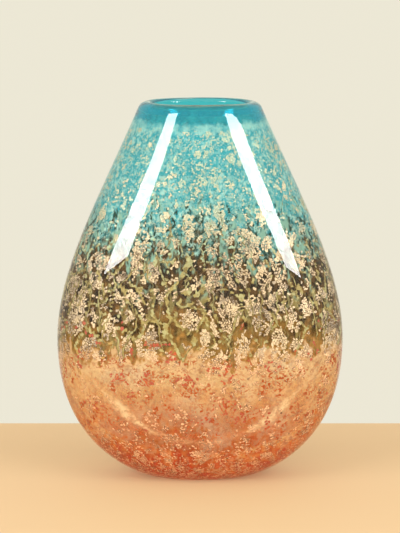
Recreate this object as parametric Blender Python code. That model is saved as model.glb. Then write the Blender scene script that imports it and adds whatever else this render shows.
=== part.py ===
"""Hand blown art glass vase: a flattened drop in layered glass.

The layers are the glassmaker's own: a clear first gather holds the hollow, four bands of ground
colour are rolled on to it, a crackled metal leaf is wrapped over the colour, a clear casing gather
covers everything and makes the foot, and a fire polished lip closes the ends of the layers.
Metres, +Z up, the vase stands on Z = 0 with its broad faces towards -Y and +Y.
"""
import math

import bmesh
import bpy
from mathutils import Vector

# Overall form
HEIGHT = 0.280
WIDEST_HALF = 0.106          # half of the width, where the belly is widest
WIDEST_AT = 0.103            # height of the widest part
NECK_HALF = 0.046            # half of the width at the top of the outline
FOOT_HALF = 0.032            # half of the width of the flat foot
BELLY_FLATNESS = 0.50        # depth over width at the belly
NECK_FLATNESS = 0.88         # depth over width at the neck: the mouth stays nearly round
FOOT_FLATNESS = 0.62         # depth over width of the foot

# Outline handles: how far each end of the two curves pulls along its own direction
HEEL_PULL = 0.011
BELLY_PULL_DOWN = 0.085
BELLY_PULL_UP = 0.050
SHOULDER_PULL = 0.075
SHOULDER_SLOPE = 0.44        # outward run for each unit down from the neck

# Layers, from the outside in
CASING_THICK = 0.0036
LEAF_THICK = 0.0004
COLOUR_THICK = 0.0006
GATHER_THICK = 0.0021        # on the wall; the gather is much thicker under the hollow
GAP = 0.0003                 # kept between neighbouring solids
FLOOR_AT = 0.024             # height of the lowest point of the hollow
FLOOR_PULL = 0.062
HOLLOW_PULL_DOWN = 0.046

# Heights at which the colour bands meet
CORAL_TO_OLIVE = WIDEST_AT
OLIVE_TO_SMOKE = 0.131
SMOKE_TO_TURQUOISE = 0.194

# Lip
LIP_HEIGHT = 0.0086
LIP_WIDTH = 0.0098
LIP_STRAIGHT = 0.0030        # height of the lip's upright sides below its round top

# Mesh density
SEGMENTS = 40
ROWS = {"coral": 8, "olive": 2, "smoke": 3, "turquoise": 4}
FLOOR_START = 0.14           # where along the hollow's lower curve its small flat cap ends
LIP_STEPS = 8

WALL_THICK = CASING_THICK + LEAF_THICK + COLOUR_THICK + GATHER_THICK + 3 * GAP
LAYERS_TOP = HEIGHT - LIP_HEIGHT - GAP


def clear_scene():
    for item in list(bpy.data.objects):
        bpy.data.objects.remove(item, do_unlink=True)


def bezier(ends, pulls, t):
    """A point of the cubic curve from ends[0] to ends[1], whose handles are the two pulls."""
    start, stop = ends
    handles = (start, start + pulls[0], stop + pulls[1], stop)
    weights = ((1 - t) ** 3, 3 * t * (1 - t) ** 2, 3 * t * t * (1 - t), t ** 3)
    return sum((point * weight for point, weight in zip(handles, weights)), Vector((0.0, 0.0)))


def outline(s):
    """Half width and height of the vase: s from 0 at the foot to 1 at the belly and 2 at the neck."""
    belly = Vector((WIDEST_HALF, WIDEST_AT))
    if s < 1.0:
        ends = (Vector((FOOT_HALF, 0.0)), belly)
        return bezier(ends, (Vector((HEEL_PULL, 0.0)), Vector((0.0, -BELLY_PULL_DOWN))), s)
    shoulder = Vector((SHOULDER_SLOPE, -1.0)).normalized() * SHOULDER_PULL
    ends = (belly, Vector((NECK_HALF, HEIGHT - 0.006)))
    return bezier(ends, (Vector((0.0, BELLY_PULL_UP)), shoulder), s - 1.0)


def flatness(height):
    """Depth over width at a height: flattest at the belly, rounder towards the neck and the foot."""
    if height > WIDEST_AT:
        rise = (height - WIDEST_AT) / (HEIGHT - WIDEST_AT)
        return BELLY_FLATNESS + (NECK_FLATNESS - BELLY_FLATNESS) * rise * rise
    fall = (WIDEST_AT - height) / WIDEST_AT
    return BELLY_FLATNESS + (FOOT_FLATNESS - BELLY_FLATNESS) * fall ** 4


def outer_point(s, angle):
    half, height = outline(s)
    depth = half * flatness(height)
    return Vector((half * math.cos(angle), depth * math.sin(angle), height))


def inset_point(s, angle, inset):
    """A point under the outer surface, the given distance in along the surface's normal."""
    step = 1e-5
    behind, ahead = (s - step, s + step) if s > 1.0 + step or s < 1.0 - step else (s, s + step)
    along = outer_point(ahead, angle) - outer_point(behind, angle)
    around = outer_point(s, angle + step) - outer_point(s, angle - step)
    return outer_point(s, angle) - around.cross(along).normalized() * inset


def position_at(height):
    """The outline position s of a height, found by halving."""
    low, high = 0.0, 2.0
    for _ in range(50):
        middle = (low + high) / 2
        if outline(middle)[1] < height:
            low = middle
        else:
            high = middle
    return low


def angles():
    return [2 * math.pi * k / SEGMENTS for k in range(SEGMENTS)]


def inset_ring(s, inset):
    return [inset_point(s, angle, inset) for angle in angles()]


def level_ring(s, inset, height):
    """An inset ring brought to one height, for the top edge of a layer."""
    ring = inset_ring(s, inset)
    return [Vector((point.x, point.y, height)) for point in ring]


def spread(start, stop, count):
    return [start + (stop - start) * k / count for k in range(count + 1)]


def band_edges():
    """Outline positions at which the colour bands start and stop, foot to neck."""
    meets = [position_at(height) for height in (CORAL_TO_OLIVE, OLIVE_TO_SMOKE, SMOKE_TO_TURQUOISE)]
    return [0.0] + meets + [position_at(LAYERS_TOP)]


def wall_positions():
    """All the outline positions that a full layer has rings at."""
    edges = band_edges()
    positions = [edges[0]]
    for count, start, stop in zip(ROWS.values(), edges, edges[1:]):
        positions += spread(start, stop, count)[1:]
    return positions


def hollow_rings():
    """The hollow's own surface, from the top down to the edge of its flat floor cap."""
    upper = [s for s in wall_positions() if s > 1.0]
    rings = [inset_ring(s, WALL_THICK) for s in reversed(upper[:-1])]
    rings.insert(0, level_ring(upper[-1], WALL_THICK, LAYERS_TOP))
    half = WIDEST_HALF - WALL_THICK
    depth_share = (WIDEST_HALF * BELLY_FLATNESS - WALL_THICK) / half
    ends = (Vector((0.0, FLOOR_AT)), Vector((half, WIDEST_AT)))
    pulls = (Vector((FLOOR_PULL, 0.0)), Vector((0.0, -HOLLOW_PULL_DOWN)))
    for t in spread(1.0, FLOOR_START, ROWS["coral"]):
        across, height = bezier(ends, pulls, t)
        ring = [Vector((across * math.cos(a), across * depth_share * math.sin(a), height)) for a in angles()]
        rings.append(ring)
    return rings


def layer_rings(positions, inset, top):
    """A layer's rings in order up the vase; the last one is level with the layers' cut end."""
    rings = [inset_ring(s, inset) for s in positions]
    if top:
        rings[-1] = level_ring(positions[-1], inset, LAYERS_TOP)
    return rings


def glass_material(name, colour, roughness, alpha):
    material = bpy.data.materials.new(name)
    material.use_nodes = True
    shader = material.node_tree.nodes["Principled BSDF"]
    shader.inputs["Base Color"].default_value = (*colour, 1.0)
    shader.inputs["Roughness"].default_value = roughness
    shader.inputs["Metallic"].default_value = 0.0
    shader.inputs["IOR"].default_value = 1.5
    shader.inputs["Alpha"].default_value = alpha
    return material


def leaf_material():
    material = glass_material("silver_leaf", (0.80, 0.70, 0.58), 0.35, 1.0)
    material.node_tree.nodes["Principled BSDF"].inputs["Metallic"].default_value = 0.6
    return material


def build_body(name, rings, material, joined=False):
    """One closed body from rings of points; the end rings are capped, or joined to each other."""
    mesh = bmesh.new()
    rows = [[mesh.verts.new(point) for point in ring] for ring in rings]
    pairs = list(zip(rows, rows[1:]))
    if joined:
        pairs.append((rows[-1], rows[0]))
    for lower, upper in pairs:
        for k in range(SEGMENTS):
            after = (k + 1) % SEGMENTS
            mesh.faces.new((lower[k], lower[after], upper[after], upper[k]))
    if not joined:
        mesh.faces.new(rows[0])
        mesh.faces.new(rows[-1])
    bmesh.ops.recalc_face_normals(mesh, faces=mesh.faces)
    data = bpy.data.meshes.new(name)
    mesh.to_mesh(data)
    mesh.free()
    data.materials.append(material)
    data.shade_smooth()
    data.set_sharp_from_angle(angle=math.radians(40))
    body = bpy.data.objects.new(name, data)
    bpy.context.scene.collection.objects.link(body)
    return body


def build_cup(name, outer_inset, thickness, material):
    """A layer that wraps the whole vase, open at the top: outside up, then inside down."""
    positions = wall_positions()
    outside = layer_rings(positions, outer_inset, True)
    inside = layer_rings(positions, outer_inset + thickness, True)
    return build_body(name, outside + inside[::-1], material)


def build_band(name, start, stop, count, material, closed_foot, top):
    """A colour band between two outline positions: a cup at the foot, a sleeve above it."""
    inset = CASING_THICK + LEAF_THICK + 2 * GAP
    outside = layer_rings(spread(start, stop, count), inset, top)
    inside = layer_rings(spread(start, stop, count), inset + COLOUR_THICK, top)
    return build_body(name, outside + inside[::-1], material, joined=not closed_foot)


def build_bands():
    looks = (
        ("coral_band", (0.78, 0.30, 0.18), 0.62),
        ("olive_band", (0.32, 0.24, 0.07), 0.80),
        ("smoke_band", (0.05, 0.05, 0.03), 0.90),
        ("turquoise_band", (0.02, 0.42, 0.55), 0.75),
    )
    edges = band_edges()
    for index, ((name, colour, alpha), count) in enumerate(zip(looks, ROWS.values())):
        start, stop = edges[index], edges[index + 1]
        lift = GAP * (stop - start) / (outline(stop)[1] - outline(start)[1])
        if index:
            start += lift
        top = index == len(looks) - 1
        material = glass_material(name + "_glass", colour, 0.08, alpha)
        build_band(name, start, stop, count, material, closed_foot=index == 0, top=top)


def build_gather():
    """The clear first gather: its outside carries the colour, its inside is the hollow."""
    inset = WALL_THICK - GATHER_THICK
    outside = layer_rings(wall_positions(), inset, True)
    material = glass_material("clear_gather_glass", (0.90, 0.96, 0.95), 0.03, 0.30)
    return build_body("inner_gather", outside + hollow_rings(), material)


def build_lip():
    """The fire polished lip: upright sides with a half round top, over the ends of the layers."""
    base = HEIGHT - LIP_HEIGHT
    s = position_at(base)
    rise = LIP_HEIGHT - LIP_STRAIGHT
    rings = [level_ring(s, 0.0, base)]
    for k in range(LIP_STEPS + 1):
        turn = math.pi * k / LIP_STEPS
        inset = LIP_WIDTH / 2 * (1 - math.cos(turn))
        rings.append(level_ring(s, inset, base + LIP_STRAIGHT + rise * math.sin(turn)))
    rings.append(level_ring(s, LIP_WIDTH, base))
    material = glass_material("lip_glass", (0.55, 0.80, 0.84), 0.02, 0.45)
    return build_body("rolled_lip", rings, material, joined=True)


def main():
    clear_scene()
    casing = glass_material("clear_casing_glass", (0.93, 0.97, 0.97), 0.02, 0.30)
    build_cup("outer_casing", 0.0, CASING_THICK, casing)
    build_cup("crackle_leaf", CASING_THICK + GAP, LEAF_THICK, leaf_material())
    build_bands()
    build_gather()
    build_lip()


main()
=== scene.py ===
"""Looks for a hand blown art glass vase: layered glass with ground colour and crackled leaf inside."""
import math

import bpy
import numpy as np
from bpy.props import FloatProperty, FloatVectorProperty, IntProperty, PointerProperty
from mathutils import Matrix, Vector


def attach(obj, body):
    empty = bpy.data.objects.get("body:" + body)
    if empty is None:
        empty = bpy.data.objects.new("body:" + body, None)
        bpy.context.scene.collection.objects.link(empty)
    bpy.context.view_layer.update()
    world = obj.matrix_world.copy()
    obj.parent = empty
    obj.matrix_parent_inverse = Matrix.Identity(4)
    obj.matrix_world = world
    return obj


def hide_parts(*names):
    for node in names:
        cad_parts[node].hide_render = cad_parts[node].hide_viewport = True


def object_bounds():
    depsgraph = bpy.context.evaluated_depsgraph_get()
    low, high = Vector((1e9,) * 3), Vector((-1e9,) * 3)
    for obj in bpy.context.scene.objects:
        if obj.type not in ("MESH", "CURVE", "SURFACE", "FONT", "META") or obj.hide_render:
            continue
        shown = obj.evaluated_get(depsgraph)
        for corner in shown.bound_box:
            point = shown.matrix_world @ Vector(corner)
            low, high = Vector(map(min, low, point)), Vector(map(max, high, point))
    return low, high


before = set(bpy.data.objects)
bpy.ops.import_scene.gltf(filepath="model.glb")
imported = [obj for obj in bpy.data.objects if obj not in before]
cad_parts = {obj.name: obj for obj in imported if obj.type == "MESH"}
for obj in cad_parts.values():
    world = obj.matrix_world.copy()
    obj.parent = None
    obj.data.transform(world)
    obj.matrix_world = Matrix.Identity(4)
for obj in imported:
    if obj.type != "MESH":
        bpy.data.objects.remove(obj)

bl_info = {
    "name": "Blown Glass Vase",
    "version": (1, 0, 0),
    "blender": (4, 5, 0),
    "location": "3D View > Sidebar > Vase",
    "description": "Builds a flattened drop vase in cased, coloured and leafed glass",
    "category": "Object",
}

CAD_LOW, CAD_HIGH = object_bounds()
BODY = "root"
MM = 0.001


# ---- settings

def length(name, description, default):
    return FloatProperty(name=name, description=description, default=default, unit="LENGTH", precision=4)


def ratio(name, description, default):
    return FloatProperty(name=name, description=description, default=default, subtype="FACTOR", min=0.0)


def count(name, description, default):
    return IntProperty(name=name, description=description, default=default)


def power(name, description, default):
    return FloatProperty(name=name, description=description, default=default, unit="POWER")


def colour(name, description, default):
    return FloatVectorProperty(
        name=name, description=description, default=default, subtype="COLOR", size=3, min=0.0, max=1.0)


class VaseForm(bpy.types.PropertyGroup):
    """The outline of the vase, the same as the fixed frame's."""
    height: length("Height", "From the foot to the top of the lip", CAD_HIGH.z - CAD_LOW.z)
    widest_half: length("Widest half width", "Half of the belly's width", CAD_HIGH.x)
    widest_at: length("Widest at", "Height of the widest part", 0.103)
    neck_half: length("Neck half width", "Half of the width at the top of the outline", 0.046)
    neck_drop: length("Neck drop", "From the top of the lip down to the end of the outline", 0.006)
    foot_half: length("Foot half width", "Half of the flat foot's width", 0.032)
    belly_flatness: ratio("Belly flatness", "Depth over width at the belly", CAD_HIGH.y / CAD_HIGH.x)
    neck_flatness: ratio("Neck flatness", "Depth over width at the neck", 0.88)
    foot_flatness: ratio("Foot flatness", "Depth over width of the foot", 0.62)
    heel_pull: length("Heel pull", "How far the outline runs along the floor before it turns up", 0.011)
    belly_pull_down: length("Belly pull down", "How far the belly runs straight down", 0.085)
    belly_pull_up: length("Belly pull up", "How far the belly runs straight up", 0.050)
    shoulder_pull: length("Shoulder pull", "How far the neck's straight side runs down", 0.075)
    shoulder_slope: ratio("Shoulder slope", "Outward run of the side below the neck, per unit down", 0.44)


class VaseLayers(bpy.types.PropertyGroup):
    """How thick each layer of glass is, from the outside in."""
    casing: length("Casing", "Thickness of the clear outer gather", 0.0036)
    leaf: length("Leaf", "Depth that the crackled leaf lies in", 0.0004)
    colour: length("Colour", "Thickness of the colour bands", 0.0006)
    gather: length("Gather", "Thickness of the clear inner gather on the wall", 0.0021)
    gap: length("Gap", "Space kept between two layers", 0.0003)
    floor_at: length("Floor height", "Height of the lowest point of the hollow", 0.024)
    floor_pull: length("Floor pull", "How flat the floor of the hollow is", 0.062)
    hollow_pull_down: length("Hollow pull", "How far the hollow's side runs straight down", 0.046)
    lip_height: length("Lip height", "Height of the rolled lip", 0.0086)
    lip_width: length("Lip width", "Thickness of the rolled lip", 0.0090)
    lip_straight: length("Lip straight", "Height of the lip's side below its round top", 0.0046)
    lip_clear: length("Lip clear", "Height of the clear rim over the colour inside the lip", 0.0022)
    lip_wave: length("Lip wave", "How far the lip dips and rises round the mouth", 0.0007)


class VaseColours(bpy.types.PropertyGroup):
    """Colours of the glass and the leaf."""
    ember: colour("Ember", "Darkest red at the foot", (0.64, 0.07, 0.028))
    coral: colour("Coral", "Orange coral over the foot", (0.98, 0.38, 0.095))
    peach: colour("Peach", "Pale peach of the lower belly", (1.0, 0.69, 0.38))
    amber: colour("Amber", "Amber between peach and olive", (0.52, 0.27, 0.06))
    olive: colour("Olive", "Olive of the middle", (0.17, 0.115, 0.026))
    smoke: colour("Smoke", "Brown black of the dark band", (0.032, 0.019, 0.007))
    pine: colour("Pine", "Green black where the dark band meets turquoise", (0.015, 0.060, 0.045))
    teal: colour("Teal", "Turquoise of the shoulder", (0.045, 0.43, 0.52))
    turquoise: colour("Turquoise", "Clean turquoise under the lip", (0.010, 0.36, 0.46))
    clean: colour("Clean", "What clean turquoise glass lets through", (0.088, 0.66, 0.80))
    thin_ember: colour("Thin ember", "What thin glass at the foot lets through", (0.88, 0.28, 0.11))
    thin_coral: colour("Thin coral", "What thin coral glass lets through", (1.0, 0.64, 0.32))
    thin_peach: colour("Thin peach", "What thin peach glass lets through", (1.0, 0.80, 0.55))
    thin_teal: colour("Thin teal", "What thin turquoise glass lets through", (0.22, 0.72, 0.80))
    aqua: colour("Aqua", "Milky aqua veils", (0.44, 0.80, 0.76))
    speck: colour("Speck", "Pale specks in the turquoise", (0.62, 0.74, 0.58))
    lagoon: colour("Lagoon", "Grey green veins near the turquoise", (0.30, 0.56, 0.46))
    lichen: colour("Lichen", "Yellow green veins of the middle", (0.34, 0.27, 0.09))
    vein: colour("Vein", "Palest green of the drawn veins", (0.44, 0.44, 0.22))
    # painted see-through light: pale patches that stand for the far wall showing through the peach glass
    painted_see_through: colour("Milk", "Pale milky patches in the peach", (0.90, 0.76, 0.52))
    blood: colour("Blood", "Red spots in the peach", (0.36, 0.05, 0.02))
    umber: colour("Umber", "Brown clouds in the dark band", (0.15, 0.075, 0.018))
    rust: colour("Rust", "Red brown marks in the coral", (0.46, 0.075, 0.012))
    curd: colour("Curd", "Pale curds toward the foot", (0.93, 0.50, 0.25))
    # painted reflection: colour of the pale arcs that stand for the bowl of the hollow shining through the
    # coral
    painted_reflection: colour("Gleam", "Pale yellow light from the bowl of the hollow", (1.0, 0.74, 0.42))
    leaf_cream: colour("Leaf cream", "Cream leaf", (0.76, 0.58, 0.35))
    leaf_rose: colour("Leaf rose", "Rose leaf", (0.82, 0.60, 0.40))
    leaf_silver: colour("Leaf silver", "Silver grey leaf", (0.50, 0.39, 0.27))
    leaf_shade: colour("Leaf shade", "Darkest tan leaf", (0.28, 0.19, 0.09))
    leaf_drowned: colour("Leaf drowned", "Leaf under a turquoise haze", (0.40, 0.54, 0.41))
    leaf_coral: colour("Leaf coral", "Leaf over the coral", (0.88, 0.48, 0.25))


class VaseLeaf(bpy.types.PropertyGroup):
    """How the leaf broke up."""
    around: count("Shards around", "Number of shards once round the belly", 232)
    patch: length("Patch", "Size of the larger patches of leaf", 0.0085)
    crack: length("Crack", "Width of a crack between two shards", 0.0006)
    torn: ratio("Torn", "Share of the shards that are missing inside a patch", 0.12)
    cells: count("Patches", "Number of patches that the leaf tore into", 640)
    flakes: count("Whole flakes", "Number of rounder flakes that stayed whole", 190)
    flake: length("Flake", "Radius of the largest whole flake", 0.0062)
    veins: count("Veins", "Number of drawn out veins", 130)
    thickness: length("Thickness", "Thickness of a shard", 0.00012)
    seed: count("Seed", "Start of the random scatter", 7)


class VaseStudio(bpy.types.PropertyGroup):
    """Camera, floor and lights."""
    distance: length("Camera distance", "From the middle of the vase to the camera", 2.2)
    elevation: FloatProperty(
        name="Camera elevation", description="Height of the camera as an angle", subtype="ANGLE",
        default=math.radians(8.5))
    frame_height: length("Frame height", "Height that the picture covers at the vase", 0.3945)
    aim_rise: length("Aim rise", "How far above the middle of the vase the camera aims", 0.017)
    floor: colour("Floor", "Plain pale floor", (0.72, 0.50, 0.29))
    floor_behind: length("Floor behind", "How far the floor runs on behind the vase", 0.195)
    air: colour("Air", "Plain pale surroundings", (0.86, 0.82, 0.68))
    air_strength: ratio("Air strength", "Brightness of the surroundings", 0.98)
    softbox_distance: length("Softbox distance", "From the middle of the vase to each soft light", 1.2)
    softbox_bottom: length("Softbox bottom", "Height of the lower edge of each soft light", 0.26)
    softbox_top_left: length("Left softbox top", "Height of the upper edge of the left light", 0.67)
    softbox_top_right: length("Right softbox top", "Height of the upper edge of the right light", 0.655)
    softbox_glow: FloatProperty(
        name="Softbox glow", description="Brightness of each soft light", default=18.0, min=0.0)
    fill_power: power("Fill power", "Power of each broad soft light", 8.0)
    front_power: power("Front power", "Power of the low soft light in front", 12.0)


SETTINGS = {
    "vase_form": VaseForm,
    "vase_layers": VaseLayers,
    "vase_colours": VaseColours,
    "vase_leaf": VaseLeaf,
    "vase_studio": VaseStudio,
}


# ---- the form

SEGMENTS = 144           # steps round the vase
WALL_ROWS = 110          # rings up a clear layer
BAND_ROWS = 44           # rings up one colour band
ANGLES = np.linspace(0.0, 2 * math.pi, SEGMENTS, endpoint=False)
SWELL_FROM = 1.6         # outline position where the wall starts to thicken toward the lip
SWELL_SHARE = 0.93       # thickness of the wall under the lip, as a share of the lip's


def curve(start, start_pull, stop, stop_pull, t):
    """Points of a cubic curve whose handles are its ends moved by the pulls."""
    t = np.asarray(t, float)[..., None]
    one, two = np.add(start, start_pull), np.add(stop, stop_pull)
    return (
        (1 - t) ** 3 * np.array(start) + 3 * t * (1 - t) ** 2 * one
        + 3 * t * t * (1 - t) * two + t ** 3 * np.array(stop))


def outline(form, s):
    """Half widths and heights: s runs from 0 at the foot to 1 at the belly and 2 at the neck."""
    s = np.asarray(s, float)
    belly = (form.widest_half, form.widest_at)
    lower = curve((form.foot_half, 0.0), (form.heel_pull, 0.0), belly, (0.0, -form.belly_pull_down), s)
    run = form.shoulder_pull / math.hypot(form.shoulder_slope, 1.0)
    neck = (form.neck_half, form.height - form.neck_drop)
    upper = curve(belly, (0.0, form.belly_pull_up), neck, (form.shoulder_slope * run, -run), s - 1.0)
    chosen = np.where((s < 1.0)[..., None], lower, upper)
    return chosen[..., 0], chosen[..., 1]


def flatness(form, height):
    """Depth over width at a height."""
    rise = np.clip((height - form.widest_at) / (form.height - form.widest_at), 0.0, None)
    fall = np.clip((form.widest_at - height) / form.widest_at, 0.0, None)
    up = (form.neck_flatness - form.belly_flatness) * rise ** 2
    down = (form.foot_flatness - form.belly_flatness) * fall ** 4
    return form.belly_flatness + up + down


def outer_points(form, s, angle):
    """Points on the outer surface."""
    half, height = outline(form, s)
    depth = half * flatness(form, height)
    parts = np.broadcast_arrays(half * np.cos(angle), depth * np.sin(angle), height)
    return np.stack(parts, axis=-1)


def surface_points(form, s, angle, inset):
    """Points under the outer surface, the inset in along its normal."""
    s, angle, inset = np.broadcast_arrays(np.asarray(s, float), np.asarray(angle, float), inset)
    step = 1e-5
    along = outer_points(form, s + step, angle) - outer_points(form, s - step, angle)
    around = outer_points(form, s, angle + step) - outer_points(form, s, angle - step)
    normal = np.cross(around, along)
    normal /= np.linalg.norm(normal, axis=-1, keepdims=True)
    return outer_points(form, s, angle) - normal * inset[..., None]


def position_at(form, height):
    """The outline position s of a height."""
    low, high = 0.0, 2.0
    for _ in range(50):
        middle = (low + high) / 2
        low, high = (middle, high) if outline(form, middle)[1] < height else (low, middle)
    return low


def layers_top(form, layers):
    """Height at which every layer is cut off under the lip."""
    return form.height - layers.lip_height - layers.gap


def wall_rings(form, layers, inset):
    """A layer's rings from the foot to its cut end, the last one brought level."""
    s = np.linspace(0.0, position_at(form, layers_top(form, layers)), WALL_ROWS)[:, None]
    rings = surface_points(form, s, ANGLES, inset)
    rings[-1, :, 2] = layers_top(form, layers)
    return rings


def closing_rings(ring):
    """Smaller and smaller copies of a level ring that close the flat foot."""
    flat, rise = np.array([1.0, 1.0, 0.0]), np.array([0.0, 0.0, 1.0])
    return np.stack([ring * (flat * share + rise) for share in (0.97, 0.8, 0.55, 0.3, 0.08)])


def hollow_rings(form, layers):
    """The skin of the hollow, from the cut end at the top down to the middle of its floor."""
    rows = WALL_ROWS // 2
    wall = layers.casing + layers.leaf + layers.colour + layers.gather + 3 * layers.gap
    s = np.linspace(position_at(form, layers_top(form, layers)), 1.0, rows)[:, None]
    swell = np.clip((s - SWELL_FROM) / (s[0] - SWELL_FROM), 0.0, 1.0) ** 2
    upper = surface_points(form, s, ANGLES, wall + swell * (layers.lip_width * SWELL_SHARE - wall))
    upper[0, :, 2] = layers_top(form, layers)
    half = form.widest_half - wall
    share = (form.widest_half * form.belly_flatness - wall) / half
    t = np.linspace(1.0, 0.02, rows)[1:]
    lower = curve(
        (0.0, layers.floor_at), (layers.floor_pull, 0.0),
        (half, form.widest_at), (0.0, -layers.hollow_pull_down), t)
    across, height = lower[:, None, 0], lower[:, None, 1]
    bowl = np.broadcast_arrays(across * np.cos(ANGLES), across * share * np.sin(ANGLES), height)
    return np.concatenate([upper, np.stack(bowl, axis=-1)])


# ---- meshes

SKIN, FUSED = 0, 1       # material numbers: a layer's own face, and a face melted to its neighbour


def link_piece(data, materials, slot, *nodes):
    """Puts a finished mesh in the scene as a piece that rides on the vase."""
    for material in materials:
        data.materials.append(material)
    piece = bpy.data.objects.new(data.name, data)
    bpy.context.scene.collection.objects.link(piece)
    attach(piece, BODY)
    if nodes:
        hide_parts(*nodes)


def ring_piece(name, rings, skins, joined, material, slot, *nodes):
    """A closed layer of glass from rings of points. skins names the face from each ring to the next."""
    rows, columns = rings.shape[:2]
    skins = np.asarray(skins)
    index = np.arange(rows * columns).reshape(rows, columns)
    steps = rows if joined else rows - 1
    upper = np.roll(index, -1, axis=0)
    quads = np.stack([index, np.roll(index, -1, axis=1), np.roll(upper, -1, axis=1), upper], axis=-1)
    faces = quads[:steps].reshape(-1, 4).tolist()
    numbers = np.repeat(skins[:steps], columns)
    if not joined:
        faces += [index[0, ::-1].tolist(), index[-1].tolist()]
        numbers = np.append(numbers, [skins[0], skins[-1]])
    data = bpy.data.meshes.new(name)
    data.from_pydata(rings.reshape(-1, 3).tolist(), [], faces)
    data.polygons.foreach_set("material_index", numbers.astype(np.int32))
    data.shade_smooth()
    data.update()
    # a crease wherever one skin ends and the next begins
    crease = skins[:rows] != np.roll(skins, 1)[:rows]
    ends = np.empty(len(data.edges) * 2, np.int32)
    data.edges.foreach_get("vertices", ends)
    ring = ends.reshape(-1, 2) // columns
    sharp = data.attributes.get("sharp_edge") or data.attributes.new("sharp_edge", "BOOLEAN", "EDGE")
    sharp.data.foreach_set("value", (ring[:, 0] == ring[:, 1]) & crease[ring[:, 0]])
    link_piece(data, [material, shared_fused()], slot, *nodes)


def tinted_mesh(name, points, faces, tints):
    """A mesh whose points each carry a tint for their material."""
    data = bpy.data.meshes.new(name)
    data.from_pydata(points.reshape(-1, 3).tolist(), [], faces)
    tint = data.attributes.new("tint", "FLOAT", "POINT")
    tint.data.foreach_set("value", np.asarray(tints, np.float32))
    data.update()
    return data


# ---- materials

class Nodes:
    """Short calls for building one material's node tree."""

    def __init__(self, name):
        self.material = bpy.data.materials.new(name)
        self.material.use_nodes = True
        self.tree = self.material.node_tree
        self.tree.nodes.clear()
        self.place = self.add("TexCoord").outputs["Object"]

    def add(self, kind, inputs=(), **settings):
        """A node with its settings; inputs gives its sockets a link, a number or a colour."""
        node = self.tree.nodes.new("ShaderNode" + kind)
        for key, value in settings.items():
            setattr(node, key, value)
        for key, value in dict(inputs).items():
            self.plug(node.inputs[key], value)
        return node

    def plug(self, socket, value):
        if isinstance(value, bpy.types.NodeSocket):
            self.tree.links.new(value, socket)
        elif socket.type == "RGBA":
            socket.default_value = (*value, 1.0)
        else:
            socket.default_value = value

    def maths(self, operation, *values, clamp=False):
        return self.add("Math", dict(enumerate(values)), operation=operation, use_clamp=clamp).outputs[0]

    def times(self, product, *others):
        for other in others:
            product = self.maths("MULTIPLY", product, other)
        return product

    def noise(self, scale, detail=3.0, stretch=(1, 1, 1), distortion=0.0):
        """Noise over the place in metres, with each axis scaled by stretch."""
        place = self.add("Mapping", {"Vector": self.place, "Scale": stretch}).outputs[0]
        return self.add("TexNoise", {
            "Vector": place, "Scale": scale, "Detail": detail, "Roughness": 0.55,
            "Distortion": distortion}).outputs["Fac"]

    def cells(self, scale, bend_scale, bend, feature="F1"):
        """Distances in a net of cells whose edges are bent by noise."""
        push = self.add("TexNoise", {"Vector": self.place, "Scale": bend_scale, "Detail": 2.0})
        bent = self.add("VectorMath", {
            0: push.outputs["Color"], 1: (bend,) * 3, 2: self.place}, operation="MULTIPLY_ADD")
        return self.add(
            "TexVoronoi", {"Vector": bent.outputs[0], "Scale": scale}, feature=feature).outputs["Distance"]

    def between(self, value, low, high, start=0.0, stop=1.0):
        """A smooth step from start to stop while the value goes from low to high."""
        return self.add("MapRange", {
            "Value": value, "From Min": low, "From Max": high, "To Min": start, "To Max": stop,
        }, interpolation_type="SMOOTHSTEP").outputs[0]

    def patches(self, scale, low, high, start=0.0, stop=1.0, **shape):
        """Soft edged patches: a smooth step over noise."""
        return self.between(self.noise(scale, **shape), low, high, start, stop)

    def mixed(self, factor, first, second, blend="MIX"):
        node = self.add("Mix", data_type="RGBA", blend_type=blend)
        sockets = {socket.identifier: socket for socket in (*node.inputs, *node.outputs)}
        for key, value in (("Factor_Float", factor), ("A_Color", first), ("B_Color", second)):
            self.plug(sockets[key], value)
        return sockets["Result_Color"]

    def ramp(self, value, stops):
        """A colour or a grey for each value; stops are pairs of a place from 0 to 1 and a shade."""
        node = self.add("ValToRGB", {0: value})
        elements = node.color_ramp.elements
        while len(elements) < len(stops):
            elements.new(0.5)
        for element, (place, shade) in zip(elements, stops):
            element.position = place
            element.color = (*((shade,) * 3 if isinstance(shade, float) else shade), 1.0)
        return node.outputs[0]

    def axis(self, letter):
        return self.add("SeparateXYZ", {0: self.place}).outputs[letter]

    def tint(self):
        return self.add("Attribute", attribute_name="tint").outputs["Fac"]

    def bump(self, height, distance, strength=1.0):
        return self.add("Bump", {"Height": height, "Distance": distance, "Strength": strength}).outputs[0]

    def shader(self, kind, **values):
        return self.add(kind, {key.replace("_", " "): value for key, value in values.items()}).outputs[0]

    def mixed_shader(self, factor, first, second):
        return self.add("MixShader", {0: factor, 1: first, 2: second}).outputs[0]

    def finish(self, surface):
        self.add("OutputMaterial", {"Surface": surface})
        return self.material


def glass(name, tint, ripple):
    """Clear fire polished glass that bends light; lamps shine straight through it."""
    n = Nodes(name)
    shade = n.mixed(n.noise(18.0, 2.0), tint, tuple(min(1.0, c * 1.02) for c in tint))
    smooth = n.patches(60.0, 0.35, 0.75, 0.0, 0.012, detail=2.0)
    bend = n.shader(
        "BsdfPrincipled", Base_Color=shade, Roughness=smooth, IOR=1.5, Transmission_Weight=1.0,
        Normal=n.bump(n.noise(22.0, 1.0), ripple))
    clear = n.shader("BsdfTransparent", Color=(0.97, 0.98, 0.975))
    path = n.add("LightPath")
    inner = n.mixed_shader(path.outputs["Is Diffuse Ray"], bend, clear)
    return n.finish(n.mixed_shader(path.outputs["Is Shadow Ray"], inner, clear))


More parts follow.
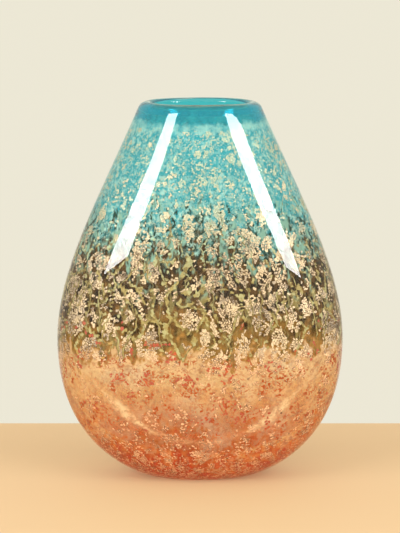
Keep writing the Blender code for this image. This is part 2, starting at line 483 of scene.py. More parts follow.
def shared_fused():
    """The one material of every face that is melted to the next layer: light goes straight on."""
    made = bpy.data.materials.get("fused_face")
    if made:
        return made
    n = Nodes("fused_face")
    veil = n.mixed(n.noise(30.0, 2.0), (0.985, 0.99, 0.985), (1.0, 1.0, 1.0))
    return n.finish(n.shader("BsdfTransparent", Color=veil))


# A level is a height as a share of the vase: 0 at the foot, 1 at the lip.

def plain_level(n, form):
    return n.times(n.axis("Z"), 1.0 / form.height)


def drifted_level(n, form):
    """The level with the colours' wisps, drips and grain added, which settle under the lip."""
    drift = 0.0
    for scale, detail, tall, size in (
            (14.0, 2.0, 1.0, 0.030), (95.0, 2.0, 0.4, 0.055), (260.0, 1.0, 0.7, 0.045)):
        wave = n.maths("SUBTRACT", n.noise(scale, detail, stretch=(1, 1, tall)), 0.5)
        drift = n.maths("MULTIPLY_ADD", wave, size, drift)
    settled = n.between(n.axis("Z"), form.height * 0.80, form.height * 0.92, 1.0, 0.12)
    return n.times(n.maths("ADD", n.axis("Z"), n.times(drift, settled)), 1.0 / form.height)


def zone(n, level, low, high, soft):
    """1 between two levels and 0 outside them, with soft ends."""
    rise = n.between(level, low - soft, low + soft)
    return n.times(rise, n.between(level, high - soft, high + soft, 1.0, 0.0))


# shape of the painted reflection arcs on the coral
GLEAM_RISE = 7.3         # how steeply the arcs climb, per metre
GLEAM_FOOT = 0.033       # height that they would reach on the middle line
GLEAM_WIDTH = 0.0046


def painted_bowl_reflection(n):
    """Painted reflection: two pale arcs low on the front, painted into the coral to stand for the bowl of
    the hollow shining through it.
    """
    across = n.maths("ABSOLUTE", n.axis("X"))
    bowl = n.maths("MULTIPLY_ADD", n.times(across, across), GLEAM_RISE, GLEAM_FOOT)
    wobble = n.maths("MULTIPLY_ADD", n.noise(120.0, 2.0), 0.006, -0.003)
    away = n.maths("ABSOLUTE", n.maths("ADD", n.maths("SUBTRACT", n.axis("Z"), bowl), wobble))
    wide = n.times(n.between(across, 0.024, 0.054), n.between(across, 0.058, 0.074, 1.0, 0.0))
    inside = n.maths("SUBTRACT", n.times(wide, GLEAM_WIDTH), away)
    front = n.between(n.axis("Y"), -0.020, -0.005, 1.0, 0.0)
    return n.times(n.between(inside, -0.0050, 0.0035), n.patches(260.0, 0.30, 0.62, 0.45, 0.95), front)


def band_glass(name, form, colours):
    """Ground colour melted into the gather: mottled, veined and crackled, clear in places."""
    n, c = Nodes(name), colours
    plain, level = plain_level(n, form), drifted_level(n, form)
    high = zone(n, level, 0.62, 0.94, 0.02)
    low = n.between(plain, 0.33, 0.37, 1.0, 0.0)
    strokes = n.times(
        n.patches(400.0, 0.49, 0.57, stretch=(1, 1, 1.1), distortion=0.9),
        n.patches(90.0, 0.38, 0.60, 0.25, 1.0, detail=2.0), low)
    # painted reflection: pale arcs that stand for the bowl of the hollow shining through
    painted_reflection = painted_bowl_reflection(n)
    shade = n.ramp(level, (
        (0.00, c.ember), (0.045, c.ember), (0.12, c.coral), (0.18, c.peach), (0.32, c.peach),
        (0.355, c.amber), (0.385, c.olive), (0.43, c.smoke), (0.58, c.smoke), (0.64, c.pine),
        (0.73, c.teal), (0.90, c.teal), (0.95, c.turquoise)))
    for mark, *shares in (
            # turquoise: milky mottles, a pale ring under the lip, dark pits, pale specks, dark flecks
            (c.aqua, high, n.patches(45.0, 0.36, 0.60, 0.45, 1.0, detail=2.0),
             n.patches(360.0, 0.40, 0.66, stretch=(1, 1, 0.75), distortion=0.3)),
            (c.aqua, zone(n, level, 0.926, 0.950, 0.008), n.patches(110.0, 0.36, 0.58, 0.15, 0.75)),
            (c.pine, high, n.between(n.cells(620.0, 500.0, 0.0012), 0.12, 0.30, 0.6, 0.0)),
            (c.speck, high, n.patches(620.0, 0.55, 0.64, 0.0, 0.75, detail=2.0)),
            (c.pine, zone(n, level, 0.60, 0.735, 0.03),
             n.patches(400.0, 0.53, 0.60, detail=2.0, stretch=(1, 1, 0.6), distortion=0.4)),
            # the dark band and the olive: brown and golden clouds, drawn out blobs
            (c.umber, zone(n, level, 0.37, 0.63, 0.03), n.patches(170.0, 0.42, 0.60, 0.0, 0.8, detail=2.0)),
            (c.amber, zone(n, level, 0.345, 0.47, 0.02), n.patches(120.0, 0.44, 0.62, 0.0, 0.5)),
            (n.mixed(n.between(level, 0.46, 0.62), c.lichen, c.lagoon), zone(n, level, 0.37, 0.74, 0.03),
             n.patches(170.0, 0.50, 0.66, stretch=(1, 1, 0.45), distortion=0.5)),
            # coral: pale patches of painted see-through light, short strokes, paler curds toward the foot,
            # the painted reflection of the bowl
            # painted see-through light: pale patches in the peach where the far wall would show through
            (c.painted_see_through, zone(n, level, 0.12, 0.33, 0.03), n.patches(32.0, 0.48, 0.62, 0.0, 0.65, detail=4.0)),
            (c.rust, strokes),
            (c.curd, low, n.between(plain, 0.05, 0.17, 0.80, 0.08),
             n.patches(330.0, 0.52, 0.62, detail=2.0, distortion=0.4)),
            (c.painted_reflection, painted_reflection)):
        shade = n.mixed(n.times(*shares), shade, mark)
    # the coral and the clean turquoise let the light through, the dark band almost none
    cover = n.ramp(level, (
        (0.00, 0.60), (0.12, 0.38), (0.24, 0.34), (0.36, 0.74), (0.50, 0.96), (0.70, 0.94), (0.78, 0.80),
        (0.945, 0.72), (0.960, 0.04)))
    cloud = n.maths("MULTIPLY_ADD", n.noise(60.0, 2.0), 0.6, -0.30)
    cover = n.maths("ADD", cover, n.times(cloud, n.between(level, 0.93, 0.95, 1.0, 0.0)), clamp=True)
    # where the strokes and the painted reflection arcs lie, the band lets no light through
    cover = n.maths("MAXIMUM", cover, n.maths("MAXIMUM", strokes, painted_reflection))
    through = n.ramp(level, (
        (0.00, c.thin_ember), (0.05, c.thin_ember), (0.14, c.thin_coral), (0.24, c.thin_peach),
        (0.33, c.thin_peach), (0.42, c.olive), (0.60, c.pine), (0.74, c.thin_teal), (0.94, c.thin_teal),
        (0.96, c.clean)))
    lit = n.shader("BsdfPrincipled", Base_Color=shade, Roughness=0.7, Specular_IOR_Level=0.0)
    solid = n.mixed_shader(0.4, lit, n.shader("BsdfTranslucent", Color=shade))
    return n.finish(n.mixed_shader(cover, n.shader("BsdfTransparent", Color=through), solid))


def leaf_metal(name, form, colours):
    """Pale leaf, tinted shard by shard, with its own fine crazing."""
    n, c = Nodes(name), colours
    tint, level = n.tint(), plain_level(n, form)
    shade = n.ramp(tint, (
        (0.0, c.leaf_shade), (0.25, c.leaf_silver), (0.5, c.leaf_cream), (0.75, c.leaf_cream),
        (1.0, c.leaf_rose)))
    drowned = n.times(n.between(level, 0.58, 0.76), n.between(tint, 0.45, 0.80, 0.85, 0.40))
    shade = n.mixed(drowned, shade, c.leaf_drowned)
    shade = n.mixed(n.between(level, 0.30, 0.38, 0.85, 0.0), shade, c.leaf_coral)
    edge = n.between(n.cells(760.0, 600.0, 0.0010, "DISTANCE_TO_EDGE"), 0.04, 0.17)
    lines = n.mixed(edge, (0.12, 0.08, 0.04), (1.0, 1.0, 1.0))
    crazed = n.times(
        n.patches(130.0, 0.36, 0.58, 0.35, 1.0, detail=1.0), n.between(level, 0.58, 0.72, 1.0, 0.35))
    shade = n.mixed(crazed, shade, lines, blend="MULTIPLY")
    return n.finish(n.shader(
        "BsdfPrincipled", Base_Color=shade, Roughness=n.patches(300.0, 0.3, 0.7, 0.35, 0.6),
        Metallic=0.15, Normal=n.bump(n.noise(900.0, 2.0), 0.0002, 0.6)))


def vein_glass(name, form, colours):
    """Drawn glass: olive low down, grey green higher up, paler and darker along its length."""
    n, c = Nodes(name), colours
    level = n.maths("MULTIPLY_ADD", n.tint(), 0.10, plain_level(n, form))
    shade = n.ramp(level, ((0.36, c.amber), (0.42, c.lichen), (0.60, c.lichen), (0.74, c.lagoon)))
    shade = n.mixed(n.patches(330.0, 0.42, 0.60, 0.0, 0.9, detail=2.0), shade, c.olive)
    shade = n.mixed(n.patches(210.0, 0.50, 0.64, 0.0, 0.6, detail=2.0), shade, c.vein)
    return n.finish(n.shader("BsdfPrincipled", Base_Color=shade, Roughness=0.5, Specular_IOR_Level=0.2))


def chip_glass(name, colours):
    """Chips of dark red glass."""
    n, c = Nodes(name), colours
    shade = n.ramp(n.tint(), ((0.0, c.blood), (0.7, c.blood), (1.0, c.rust)))
    shade = n.mixed(n.patches(500.0, 0.4, 0.7, 0.0, 0.5, detail=2.0), shade, c.rust)
    return n.finish(n.shader("BsdfPrincipled", Base_Color=shade, Roughness=0.4))


# ---- the clear glass

CLEAR_TINT = (0.975, 0.99, 0.985)
LIP_TINT = (0.90, 0.97, 0.97)


def build_casing(form, layers):
    """The clear outer gather: the skin bends light, the inside is fused to the colour."""
    outside = wall_rings(form, layers, 0.0)
    inside = wall_rings(form, layers, layers.casing)[::-1]
    foot, ceiling = closing_rings(outside[0])[::-1], closing_rings(inside[-1])
    rings = np.concatenate([foot, outside, inside, ceiling])
    skins = [SKIN] * (len(foot) + WALL_ROWS - 1) + [FUSED] * (WALL_ROWS + len(ceiling) + 1)
    skin = glass("casing_glass", CLEAR_TINT, 0.00003)
    ring_piece("outer_casing_glass", rings, skins, False, skin, "clear_casing", "outer_casing")


def build_gather(form, layers):
    """The clear first gather: the outside is fused to the colour, the hollow's skin bends light."""
    outside = wall_rings(form, layers, layers.casing + layers.leaf + layers.colour + 3 * layers.gap)
    foot = closing_rings(outside[0])[::-1]
    hollow = hollow_rings(form, layers)
    rings = np.concatenate([foot, outside, hollow])
    skins = [FUSED] * (len(foot) + WALL_ROWS) + [SKIN] * len(hollow)
    skin = glass("gather_glass", CLEAR_TINT, 0.00004)
    ring_piece("inner_gather_glass", rings, skins, False, skin, "clear_gather", "inner_gather")


def lip_frame(form, layers):
    """Where the lip starts, how the side runs on per unit up, and the level way in."""
    base = layers_top(form, layers) + 0.02 * MM
    start, above = (outer_points(form, position_at(form, z), ANGLES) for z in (base, base + 1.0 * MM))
    side = (above - start) / (above - start)[:, 2:]
    deeper = surface_points(form, position_at(form, base), ANGLES, MM)
    inward = (deeper - start) * np.array([1.0, 1.0, 0.0])
    return start, side, inward / np.linalg.norm(inward, axis=1, keepdims=True)


def build_lip(form, layers):
    """The fire polished lip, a little uneven as the tools left it."""
    start, side, inward = lip_frame(form, layers)
    rise = form.height - start[0, 2] - layers.lip_straight
    dip = layers.lip_wave * (0.5 + 0.32 * np.sin(ANGLES + 0.4) + 0.18 * np.sin(3 * ANGLES + 2.0))
    turns = np.linspace(0.0, math.pi, 22)[:, None]
    height = layers.lip_straight + (rise - dip) * np.sin(turns)
    inset = np.broadcast_to(layers.lip_width / 2 * (1 - np.cos(turns)), height.shape)
    flat = np.zeros((1, SEGMENTS))
    height = np.concatenate([flat, flat + layers.lip_straight / 2, height, flat])[..., None]
    inset = np.concatenate([flat, flat, inset, flat + layers.lip_width])[..., None]
    rings = start + side * height + inward * inset
    skins = [SKIN] * (len(rings) - 1) + [FUSED]
    skin = glass("lip_glass", LIP_TINT, 0.00003)
    ring_piece("rolled_lip_glass", rings, skins, True, skin, "lip_glass", "rolled_lip")


# ---- the colour

BANDS = (
    # piece, node, slot, level of its upper edge (None: the cut end)
    ("coral_colour", "coral_band", "coral_glass", 0.368),
    ("olive_colour", "olive_band", "olive_glass", 0.468),
    ("smoke_colour", "smoke_band", "smoke_glass", 0.693),
    ("turquoise_colour", "turquoise_band", "turquoise_glass", None),
)
DRIPS = ((2, 2.5 * MM), (5, 2.0 * MM), (11, 1.4 * MM), (23, 1.0 * MM))   # waves round the vase, height


def dripping_edge(form, share, number):
    """Outline positions of the edge between two bands, which wanders and drips round the vase."""
    rng = np.random.default_rng(40 + number)
    height = np.full(SEGMENTS, form.height * share)
    for waves, size in DRIPS:
        height += size * np.sin(waves * ANGLES + rng.uniform(0, 2 * math.pi))
    return np.array([position_at(form, level) for level in height])


def build_bands(form, layers, colours):
    """Four bands of ground colour; each upper edge is the next band's lower edge."""
    inset = layers.casing + layers.leaf + 2 * layers.gap
    top = layers_top(form, layers)
    steps = np.linspace(0.0, 1.0, BAND_ROWS)[:, None]
    start = np.zeros(SEGMENTS)
    for number, (piece, node, slot, share) in enumerate(BANDS):
        stop = dripping_edge(form, share, number) if share else np.full(SEGMENTS, position_at(form, top))
        s = start + (stop - start) * steps
        outside = surface_points(form, s, ANGLES, inset)
        inside = surface_points(form, s, ANGLES, inset + layers.colour)[::-1]
        if not share:
            outside[-1, :, 2] = inside[0, :, 2] = top
        rings = [outside, inside]
        skins = [SKIN] * (BAND_ROWS - 1) + [FUSED] * (BAND_ROWS + 1)
        cup = number == 0
        if cup:
            foot = closing_rings(outside[0])[::-1]
            rings = [foot, outside, inside, closing_rings(inside[-1])]
            skins = [SKIN] * len(foot) + skins + [FUSED] * len(foot)
        pattern = band_glass(piece + "_glass", form, colours)
        ring_piece(piece, np.concatenate(rings), skins, not cup, pattern, slot, node)
        start = stop


def build_lip_colour(form, layers, colours):
    """The turquoise runs on inside the lip and ends just under its clear rim."""
    start, side, inward = lip_frame(form, layers)
    inset = layers.casing + layers.leaf + 2 * layers.gap
    tall = layers.lip_height - layers.lip_clear + 0.35 * MM * np.sin(5 * ANGLES + 1.0)
    climb = (0.0, 0.35, 0.7, 1.0)
    rings = [
        start + side * (share * tall)[:, None] + inward * depth
        for depth, shares in ((inset, climb), (inset + layers.colour, climb[::-1])) for share in shares]
    pattern = band_glass("lip_colour_glass", form, colours)
    ring_piece("lip_colour", np.stack(rings), [SKIN] * 3 + [FUSED] * 5, True, pattern, "turquoise_glass")


# ---- the leaf, its seams and the red chips

ROW_STEP = math.sqrt(3) / 2      # rise from one row of shards to the next, in shards
TIP = 0.577                      # from a shard's middle to its top or bottom corner, in shards
CORNER_SHIFT = 0.30              # how far a corner strays, in shards
PATCH_TALL = 1.85                # height over width of the patches that the leaf tore into
LEAF_COVER = (                   # share of the wall that leaf covers at a level
    (0.0, 0.42), (0.07, 0.36), (0.12, 0.18), (0.20, 0.07), (0.30, 0.10), (0.345, 0.33), (0.42, 0.38),
    (0.56, 0.37), (0.66, 0.32), (0.74, 0.24), (0.88, 0.22), (0.925, 0.20), (0.940, 0.0))
SEAM_REACH = ((0.33, 0.0), (0.38, 0.40), (0.50, 0.34), (0.60, 0.26), (0.68, 0.0))    # in shards, at a level
CHIP_COVER = (                   # how thick the red chips lie at a level
    (0.0, 0.50), (0.12, 0.62), (0.20, 0.80), (0.34, 0.95), (0.38, 0.86), (0.46, 0.74), (0.56, 0.0))
CHIP_BAR = 0.53                  # a shard is a chip when its draw is above this


def at_level(level, table):
    return np.interp(level, *zip(*table))


def clouds(rng, points, size):
    """Soft random values from 0 to 1 at points in space, with lumps of about the size."""
    spots = points / size + 100.0
    corner = np.floor(spots).astype(int)
    part = spots - corner
    part = part * part * (3 - 2 * part)
    corner -= corner.reshape(-1, 3).min(axis=0)
    lattice = rng.uniform(0.0, 1.0, corner.reshape(-1, 3).max(axis=0) + 2)
    total = 0.0
    for offset in np.ndindex(2, 2, 2):
        share = 1.0
        for axis, side in enumerate(offset):
            share = share * (part[..., axis] if side else 1 - part[..., axis])
        total = total + share * lattice[tuple(corner[..., axis] + offset[axis] for axis in range(3))]
    return total


class ShardNet:
    """A net of crooked six-sided shards over the wall. Its unit is one shard; rows run upward."""

    def __init__(self, form, layers, leaf):
        self.form, self.inset, self.around = form, layers.casing + layers.gap, leaf.around
        fine = np.linspace(0.0, position_at(form, layers_top(form, layers) - 2 * MM), 1200)
        half, height = outline(form, fine)
        depth = half * flatness(form, height)
        girth = math.pi * (3 * (half + depth) - np.sqrt((3 * half + depth) * (half + 3 * depth)))
        pitch = girth / self.around
        rise = np.hypot(np.diff(half), np.diff(height)) / ((pitch[1:] + pitch[:-1]) / 2)
        self.s_of, self.pitch_of = fine, pitch
        self.up_of = np.concatenate([[0.0], np.cumsum(rise)])
        self.rows = int(self.up_of[-1] / ROW_STEP) - 1
        turns = np.linspace(0.0, 2 * math.pi, 2000)
        belly = outer_points(form, 1.0, turns)
        run = np.concatenate([[0.0], np.cumsum(np.linalg.norm(np.diff(belly, axis=0), axis=1))])
        self.turns, self.run = turns, run / run[-1] * self.around
        # the middles, with one more row below and above for the neighbours
        row, column = np.meshgrid(np.arange(self.rows + 2), np.arange(self.around), indexing="ij")
        self.middles = np.stack([column + 0.5 * (row % 2), row * ROW_STEP], axis=-1)
        self.middle, self.odd = self.middles[1:-1], (row % 2)[1:-1].astype(bool)
        self.place = outer_points(form, *self.on_wall(self.middle))
        self.level = self.place[..., 2] / form.height

    def on_wall(self, spots):
        """Outline position and angle of spots in the net."""
        angle = np.interp(spots[..., 0] % self.around, self.run, self.turns)
        return np.interp(spots[..., 1], self.up_of, self.s_of), angle

    def clouds(self, rng, size):
        return clouds(rng, self.place, size)

    def corners(self, rng):
        """Every shard's six corners, shared with its neighbours before any crack."""
        shift = rng.uniform(-CORNER_SHIFT, CORNER_SHIFT, (2, *self.middles.shape))
        top = self.middles + (0.0, TIP) + shift[0]
        bottom = self.middles + (0.0, -TIP) + shift[1]

        def beside(values, up, right):
            """The corner of the neighbour one row up or down, to the left or right, round the vase."""
            moved = values[2:] if up else values[:-2]
            near = np.roll(moved, -1 if right else 1, axis=1)
            picked = np.where(self.odd[..., None] != right, moved, near)
            picked[..., 0] += self.around * np.round((self.middle[..., 0] - picked[..., 0]) / self.around)
            return picked

        return np.stack([
            top[1:-1], beside(bottom, True, False), beside(top, False, False), bottom[1:-1],
            beside(top, False, True), beside(bottom, True, True)], axis=-2)

    def warped(self, rng, shape):
        """Pushes the corners about so that no row of shards stays straight."""
        place = outer_points(self.form, *self.on_wall(shape))
        moved = shape.copy()
        for size, push in ((0.018, 1.7), (0.0060, 0.55)):
            for axis in (0, 1):
                moved[..., axis] += (clouds(rng, place, size) - 0.5) * 2 * push
        moved[..., 1] = np.clip(moved[..., 1], 0.0, self.up_of[-1])
        return moved

    def cracked(self, shape, widths):
        """Draws each side of the shards in; widths are in metres, one for each side."""
        pitch = np.interp(self.middle[..., 1], self.up_of, self.pitch_of)[..., None]
        side = np.roll(shape, -1, axis=-2) - shape
        side /= np.linalg.norm(side, axis=-1, keepdims=True)
        inward = np.stack([-side[..., 1], side[..., 0]], axis=-1)
        before = np.roll(inward, 1, axis=-2)
        drawn = np.minimum(widths / 2 / pitch, 0.3)
        drawn_before = np.roll(drawn, 1, axis=-1)
        cross = before[..., 0] * inward[..., 1] - before[..., 1] * inward[..., 0]
        cross = np.where(np.abs(cross) < 0.45, 0.45, cross)
        step_x = (drawn_before * inward[..., 1] - drawn * before[..., 1]) / cross
        step_y = (drawn * before[..., 0] - drawn_before * inward[..., 0]) / cross
        return shape + np.clip(np.stack([step_x, step_y], axis=-1), -0.4, 0.4)


def shard_mesh(name, net, shape, lift, thickness, shades):
    """Thin closed plates over the wall from six-cornered outlines in the net."""
    middle = shape.mean(axis=1, keepdims=True)
    s, angle = net.on_wall(np.concatenate([shape, middle, middle], axis=1))
    inset = net.inset + np.reshape(lift, (-1, 1)) + np.array([0.25] * 6 + [0.0, 1.0]) * thickness
    points = surface_points(net.form, s, angle, inset)
    fan = [(k, (k + 1) % 6) for k in range(6)]
    pattern = np.array([(b, a, 6) for a, b in fan] + [(a, b, 7) for a, b in fan])
    faces = (np.arange(len(shape))[:, None, None] * 8 + pattern).reshape(-1, 3)
    return tinted_mesh(name, points, faces.tolist(), np.repeat(shades, 8))


def torn_patches(rng, net, count):
    """For each shard, how far it lies from the seam between two patches, and its patch's luck."""
    spots = rng.uniform((0.0, 0.0), (net.around, net.up_of[-1]), (count, 2))
    luck = rng.uniform(0.0, 1.0, count)
    nearest = np.full(net.level.shape, 1e9)
    second, owner = nearest.copy(), np.zeros(net.level.shape, int)
    for number, spot in enumerate(spots):
        across = (net.middle[..., 0] - spot[0] + net.around / 2) % net.around - net.around / 2
        away = np.hypot(across, (net.middle[..., 1] - spot[1]) / PATCH_TALL)
        closest = away < nearest
        second = np.where(closest, nearest, np.minimum(second, away))
        nearest = np.where(closest, away, nearest)
        owner = np.where(closest, number, owner)
    return second - nearest, luck[owner]


def kept_shards(rng, net, leaf, border, luck):
    """The shards that still carry leaf: clumped in the patches and in rounder whole flakes."""
    tall = net.place * np.array([1.0, 1.0, 0.8])
    loose = np.interp(net.level, (0.30, 0.36, 0.66, 0.78), (0.45, 0.0, 0.0, 0.5))
    inside = np.clip(border / 2.6, 0.0, 1.0)
    lumps = (
        (1 - loose) * (0.50 * inside + 0.30 * luck + 0.30 * clouds(rng, tall, leaf.patch * 0.4))
        + (0.20 + 0.3 * loose) * rng.uniform(0.0, 1.0, net.level.shape)
        + 0.5 * loose * clouds(rng, tall, leaf.patch * 0.25))
    for _ in range(leaf.flakes):
        row = rng.integers(net.rows)
        centre = net.place[row, rng.integers(net.around)]
        radius = leaf.flake * rng.uniform(0.35, 1.0) * (1.0 if 0.33 < net.level[row, 0] < 0.64 else 0.55)
        away = np.linalg.norm((net.place - centre) * np.array([1.0, 1.0, 0.85]), axis=-1)
        away *= 0.85 + 0.3 * net.clouds(rng, leaf.flake * 0.6)
        bare = np.where(away < radius * 1.15 + 1.2 * MM, lumps - 0.35, lumps)
        lumps = np.where(away < radius, lumps + 0.5, bare)
    order = np.argsort(np.argsort(lumps, axis=1), axis=1) / net.around
    torn = rng.uniform(0.0, 1.0, net.level.shape) < leaf.torn
    return (order > 1.0 - at_level(net.level, LEAF_COVER) / (1 - leaf.torn)) & ~torn


def crack_widths(rng, net, leaf):
    """One crack width for each of a shard's six sides, the same for the two shards that share it."""
    sound = 0.12 + 0.5 * net.clouds(rng, 0.008)
    draw = rng.uniform(0.0, 1.0, (3, *net.level.shape))
    cracks = np.where(draw < sound, 0.0, 0.35 + 1.5 * (draw - sound)) * leaf.crack
    right, above_right, above_left = cracks * np.interp(net.level, (0.64, 0.72), (1.0, 0.45))
    left = np.roll(right, 1, axis=1)
    below_left = np.roll(np.where(net.odd, np.roll(above_right, 1, axis=1), above_right), 1, axis=0)
    below_right = np.roll(np.where(net.odd, above_left, np.roll(above_left, -1, axis=1)), 1, axis=0)
    return np.stack([above_left, left, below_left, below_right, right, above_right], axis=-1)


def build_leaf(form, layers, colours, leaf):
    """The crackled leaf, the veins in its seams and the red chips, all cut from one net of shards."""
    rng = np.random.default_rng(leaf.seed)
    net = ShardNet(form, layers, leaf)
    shape = net.corners(rng)
    border, luck = torn_patches(rng, net, leaf.cells)
    kept = kept_shards(rng, net, leaf, border, luck)
    cracked = net.cracked(shape, crack_widths(rng, net, leaf))
    shape, whole = net.warped(rng, np.stack([cracked, shape]))
    thick = leaf.thickness
    hue = net.clouds(rng, 0.011)[kept] * 0.9 + rng.uniform(-0.18, 0.28, kept.sum())
    lift = net.clouds(rng, 0.006)[kept] * thick * 1.5
    data = shard_mesh("crackled_leaf", net, shape[kept], lift, thick, np.clip(hue, 0, 1))
    link_piece(data, [leaf_metal("leaf_metal", form, colours)], "crackle_leaf", "crackle_leaf")
    # veins fill the seams between the patches
    reach = at_level(net.level, SEAM_REACH)
    veins = (border < reach * (0.3 + 1.4 * net.clouds(rng, 0.014))) & ~kept
    data = shard_mesh("seam_veins", net, whole[veins], thick * 2.2, thick, net.clouds(rng, 0.010)[veins])
    link_piece(data, [vein_glass("seam_glass", form, colours)], "olive_glass")
    # red chips lie in loose clusters where there is no leaf
    crowd = net.clouds(rng, 0.010) * at_level(net.level, CHIP_COVER)
    chips = (crowd * rng.uniform(0.3, 1.0, net.level.shape) > CHIP_BAR) & ~kept & ~veins
    data = shard_mesh("red_chips", net, shape[chips], thick, thick, rng.uniform(0.0, 1.0, chips.sum()))
    link_piece(data, [chip_glass("chip_glass", colours)], "coral_glass")


# ---- the drawn out veins

VEIN_LEVELS = (0.34, 0.75)       # where the veins lie
VEIN_SPREAD = 9.0                # times round the vase that the veins are dealt out
VEIN_STEPS = 12                  # points along one vein


def vein_path(rng, start, rise):
    """The middle line of one vein: it climbs, leans and wriggles."""
    lean = rng.normal(0.0, 0.22)
    turn = rng.normal(0.0, 0.45, VEIN_STEPS).cumsum()
    turn -= np.linspace(turn[0], turn[-1], VEIN_STEPS) * 0.8
    climb = np.linspace(0.0, rise, VEIN_STEPS)
    return np.stack([
        start[0] + lean * climb + turn, start[1] + climb + rng.normal(0.0, 0.1, VEIN_STEPS)], axis=-1)


def build_veins(form, layers, colours, leaf):
    """Closed ribbons of olive and grey green glass with four edges, drawn out upward over the leaf."""
    rng = np.random.default_rng(leaf.seed + 1)
    net = ShardNet(form, layers, leaf)
    low, high = (
        np.interp(position_at(form, share * form.height), net.s_of, net.up_of) for share in VEIN_LEVELS)
    edge_inset = layers.casing + layers.gap * 0.6 + np.array([[0.5], [0.0], [0.5], [1.0]]) * leaf.thickness
    taper = np.sin(np.linspace(0.12, math.pi - 0.12, VEIN_STEPS)) ** 0.5
    ribbons, tints = [], []
    for k in range(leaf.veins):
        across = (k + rng.uniform(-0.4, 0.4)) * net.around * VEIN_SPREAD / leaf.veins
        up = rng.uniform(low - 2, high - 4)
        rise = rng.uniform(5, 17) * (1 - 0.45 * max((up - low) / (high - low), 0.0))
        path = vein_path(rng, (across, up), min(rise, high - up + 2))
        width = rng.uniform(0.16, 0.46) * taper
        width *= rng.uniform(0.5, 1.4, VEIN_STEPS)
        along = np.gradient(path, axis=0)
        side = np.stack([along[:, 1], -along[:, 0]], axis=-1)
        side /= np.linalg.norm(side, axis=-1, keepdims=True)
        edges = np.stack([path + side * width[:, None], path, path - side * width[:, None], path])
        ribbons.append(surface_points(form, *net.on_wall(edges), edge_inset))
        tints.append(rng.uniform(0.0, 1.0))
    first, last = [np.arange(4) * VEIN_STEPS + end for end in (0, VEIN_STEPS - 1)]
    pattern = [
        (a + j, b + j, b + j + 1, a + j + 1)
        for j in range(VEIN_STEPS - 1) for a, b in zip(first, np.roll(first, -1))]
    pattern += [first[::-1], last]
    faces = [
        [int(corner) + 4 * VEIN_STEPS * k for corner in face]
        for k in range(leaf.veins) for face in pattern]
    data = tinted_mesh("drawn_veins", np.stack(ribbons), faces, np.repeat(tints, 4 * VEIN_STEPS))
    data.shade_smooth()
    link_piece(data, [vein_glass("vein_glass", form, colours)], "olive_glass")


# ---- the stage

SOFTBOXES = (
    # name, left and right azimuth at the bottom, then at the top, setting of the top's height
    ("softbox_left", (-61, -44), (-54, -36), "softbox_top_left"),
    ("softbox_right", (53, 65), (40, 65), "softbox_top_right"),
)
FILLS = (
    # name, azimuth, height, setting of the power
    ("fill_left", -50, 1.3, "fill_power"),
    ("fill_right", 50, 1.3, "fill_power"),
    ("fill_front", 0, 0.30, "front_power"),
)
FILL_SIZE = 1.7
FILL_SPREAD = math.radians(100)
FILL_REACH = 1.9                 # from the vase to a fill light, over the floor
FILL_AIM = 0.12                  # height that the fill lights point at
TABLE_FRONT, TABLE_SIDE, TABLE_THICK = -1.2, 1.4, 0.03
TABLE_DROP = 0.0002              # the table top lies this far under the foot


def link_stage(name, data):
    thing = bpy.data.objects.new(name, data)
    bpy.context.scene.collection.objects.link(thing)
    return thing


def round_vase(azimuth, reach, height):
    """A place round the vase; azimuth 0 is in front and grows to the right."""
    turn = math.radians(azimuth)
    return reach * math.sin(turn), -reach * math.cos(turn), height


def build_floor(studio):
    """A wide table top with a soft front and back edge; the vase stands near its back edge."""
    corners = [
        (-TABLE_SIDE, TABLE_FRONT), (TABLE_SIDE, TABLE_FRONT),
        (TABLE_SIDE, studio.floor_behind), (-TABLE_SIDE, studio.floor_behind)]
    data = bpy.data.meshes.new("studio_floor")
    data.from_pydata(
        [(x, y, z) for z in (-TABLE_DROP, -TABLE_THICK) for x, y in corners], [],
        [(0, 1, 2, 3), (7, 6, 5, 4), *((k + 4, (k + 1) % 4 + 4, (k + 1) % 4, k) for k in range(4))])
    n = Nodes("floor_paint")
    tone = n.mixed(n.noise(3.0, 2.0), studio.floor, tuple(c * 0.985 for c in studio.floor))
    data.materials.append(n.finish(n.shader("BsdfPrincipled", Base_Color=tone, Roughness=0.75)))
    floor = link_stage("studio_floor", data)
    edge = floor.modifiers.new("soft_edge", "BEVEL")
    edge.width, edge.segments = 0.004, 3


def build_softboxes(studio):
    """Tall panels of plain soft light, which show as the long highlights."""
    for name, bottom, top, setting in SOFTBOXES:
        places = [
            round_vase(azimuth, studio.softbox_distance, height)
            for azimuths, height in ((bottom, studio.softbox_bottom), (top, getattr(studio, setting)))
            for azimuth in azimuths]
        data = bpy.data.meshes.new(name)
        data.from_pydata(places, [], [(0, 1, 3, 2)])
        n = Nodes(name + "_glow")
        shade = n.mixed(n.noise(2.0, 1.0), (1.0, 0.985, 0.955), (1.0, 0.99, 0.97))
        data.materials.append(n.finish(n.shader("Emission", Color=shade, Strength=studio.softbox_glow)))
        panel = link_stage(name, data)
        panel.visible_camera = panel.visible_diffuse = False


def build_fills(studio):
    """Broad soft lights, kept out of the reflections."""
    for name, azimuth, height, setting in FILLS:
        lamp = bpy.data.lights.new(name, "AREA")
        lamp.shape, lamp.size, lamp.spread = "SQUARE", FILL_SIZE, FILL_SPREAD
        lamp.energy = getattr(studio, setting)
        lamp.color = (1.0, 0.985, 0.96)
        holder = link_stage(name, lamp)
        holder.location = round_vase(azimuth, FILL_REACH, height)
        tilt = math.pi / 2 - math.atan2(height - FILL_AIM, FILL_REACH)
        holder.rotation_euler = (tilt, 0.0, math.radians(azimuth))
        holder.visible_glossy = holder.visible_camera = holder.visible_transmission = False


def build_air(studio):
    world = bpy.data.worlds.new("studio_air")
    world.use_nodes = True
    back = world.node_tree.nodes["Background"]
    back.inputs["Color"].default_value = (*studio.air, 1.0)
    back.inputs["Strength"].default_value = studio.air_strength
    bpy.context.scene.world = world


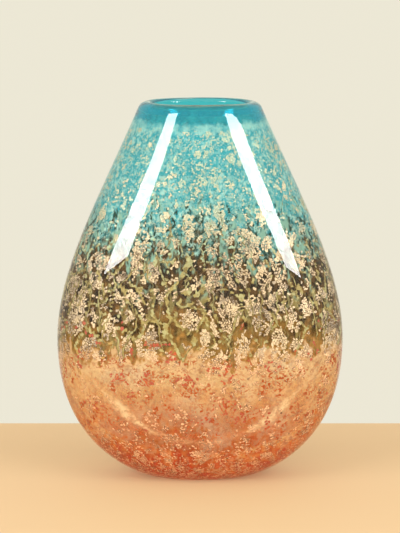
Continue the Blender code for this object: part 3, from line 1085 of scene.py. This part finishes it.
def build_camera(form, studio):
    data = bpy.data.cameras.new("camera")
    camera = link_stage("camera", data)
    aim = np.array([0.0, 0.0, form.height / 2 + studio.aim_rise])
    back = np.array([0.0, -math.cos(studio.elevation), math.sin(studio.elevation)])
    camera.location = aim + back * studio.distance
    camera.rotation_euler = (math.pi / 2 - studio.elevation, 0.0, 0.0)
    data.sensor_fit = "VERTICAL"
    data.lens = data.sensor_height * studio.distance / studio.frame_height
    data.clip_start = 0.05
    bpy.context.scene.camera = camera


def build_stage(form, studio):
    """The floor, the air, the camera and the lights; light may pass through many layers of glass."""
    build_floor(studio)
    build_air(studio)
    build_camera(form, studio)
    build_softboxes(studio)
    build_fills(studio)
    scene = bpy.context.scene
    scene.view_settings.view_transform = "Standard"
    scene.cycles.transparent_max_bounces = 48
    scene.cycles.max_bounces = 24
    scene.cycles.transmission_bounces = 20


# ---- operators and panel

def settings(context, *names):
    return [getattr(context.scene, "vase_" + name) for name in names]


class VASE_OT_stage(bpy.types.Operator):
    """Builds the floor, the soft lights and the camera"""
    bl_idname = "vase.stage"
    bl_label = "Stage"

    def execute(self, context):
        build_stage(*settings(context, "form", "studio"))
        return {"FINISHED"}


class VASE_OT_casing(bpy.types.Operator):
    """Builds the clear outer casing with the foot"""
    bl_idname = "vase.casing"
    bl_label = "Outer casing"

    def execute(self, context):
        build_casing(*settings(context, "form", "layers"))
        return {"FINISHED"}


class VASE_OT_gather(bpy.types.Operator):
    """Builds the clear first gather with the hollow"""
    bl_idname = "vase.gather"
    bl_label = "Inner gather"

    def execute(self, context):
        build_gather(*settings(context, "form", "layers"))
        return {"FINISHED"}


class VASE_OT_bands(bpy.types.Operator):
    """Builds the four bands of ground colour"""
    bl_idname = "vase.bands"
    bl_label = "Colour bands"

    def execute(self, context):
        build_bands(*settings(context, "form", "layers", "colours"))
        return {"FINISHED"}


class VASE_OT_leaf(bpy.types.Operator):
    """Builds the crackled leaf, the veins in its seams and the red chips"""
    bl_idname = "vase.leaf"
    bl_label = "Crackled leaf"

    def execute(self, context):
        build_leaf(*settings(context, "form", "layers", "colours", "leaf"))
        return {"FINISHED"}


class VASE_OT_veins(bpy.types.Operator):
    """Builds the drawn out veins of olive and grey green glass"""
    bl_idname = "vase.veins"
    bl_label = "Drawn out veins"

    def execute(self, context):
        build_veins(*settings(context, "form", "layers", "colours", "leaf"))
        return {"FINISHED"}


class VASE_OT_lip(bpy.types.Operator):
    """Builds the fire polished lip and the colour inside it"""
    bl_idname = "vase.lip"
    bl_label = "Rolled lip"

    def execute(self, context):
        build_lip(*settings(context, "form", "layers"))
        build_lip_colour(*settings(context, "form", "layers", "colours"))
        return {"FINISHED"}


OPERATORS = (
    VASE_OT_stage, VASE_OT_casing, VASE_OT_gather, VASE_OT_bands, VASE_OT_leaf, VASE_OT_veins, VASE_OT_lip)


class VASE_PT_panel(bpy.types.Panel):
    """Lists the vase's settings and the steps that build it"""
    bl_label = "Blown Glass Vase"
    bl_idname = "VASE_PT_panel"
    bl_space_type = "VIEW_3D"
    bl_region_type = "UI"
    bl_category = "Vase"

    def draw(self, context):
        for key, group in SETTINGS.items():
            box = self.layout.box()
            box.label(text=group.__doc__)
            for prop in group.__annotations__:
                box.prop(getattr(context.scene, key), prop)
        for operator in OPERATORS:
            self.layout.operator(operator.bl_idname)


CLASSES = (*SETTINGS.values(), *OPERATORS, VASE_PT_panel)


def register():
    for item in CLASSES:
        bpy.utils.register_class(item)
    for key, group in SETTINGS.items():
        setattr(bpy.types.Scene, key, PointerProperty(type=group))


def unregister():
    for key in SETTINGS:
        delattr(bpy.types.Scene, key)
    for item in reversed(CLASSES):
        bpy.utils.unregister_class(item)


def main():
    register()
    for operator in OPERATORS:
        group, name = operator.bl_idname.split(".")
        getattr(getattr(bpy.ops, group), name)()


if __name__ == "__main__":
    main()
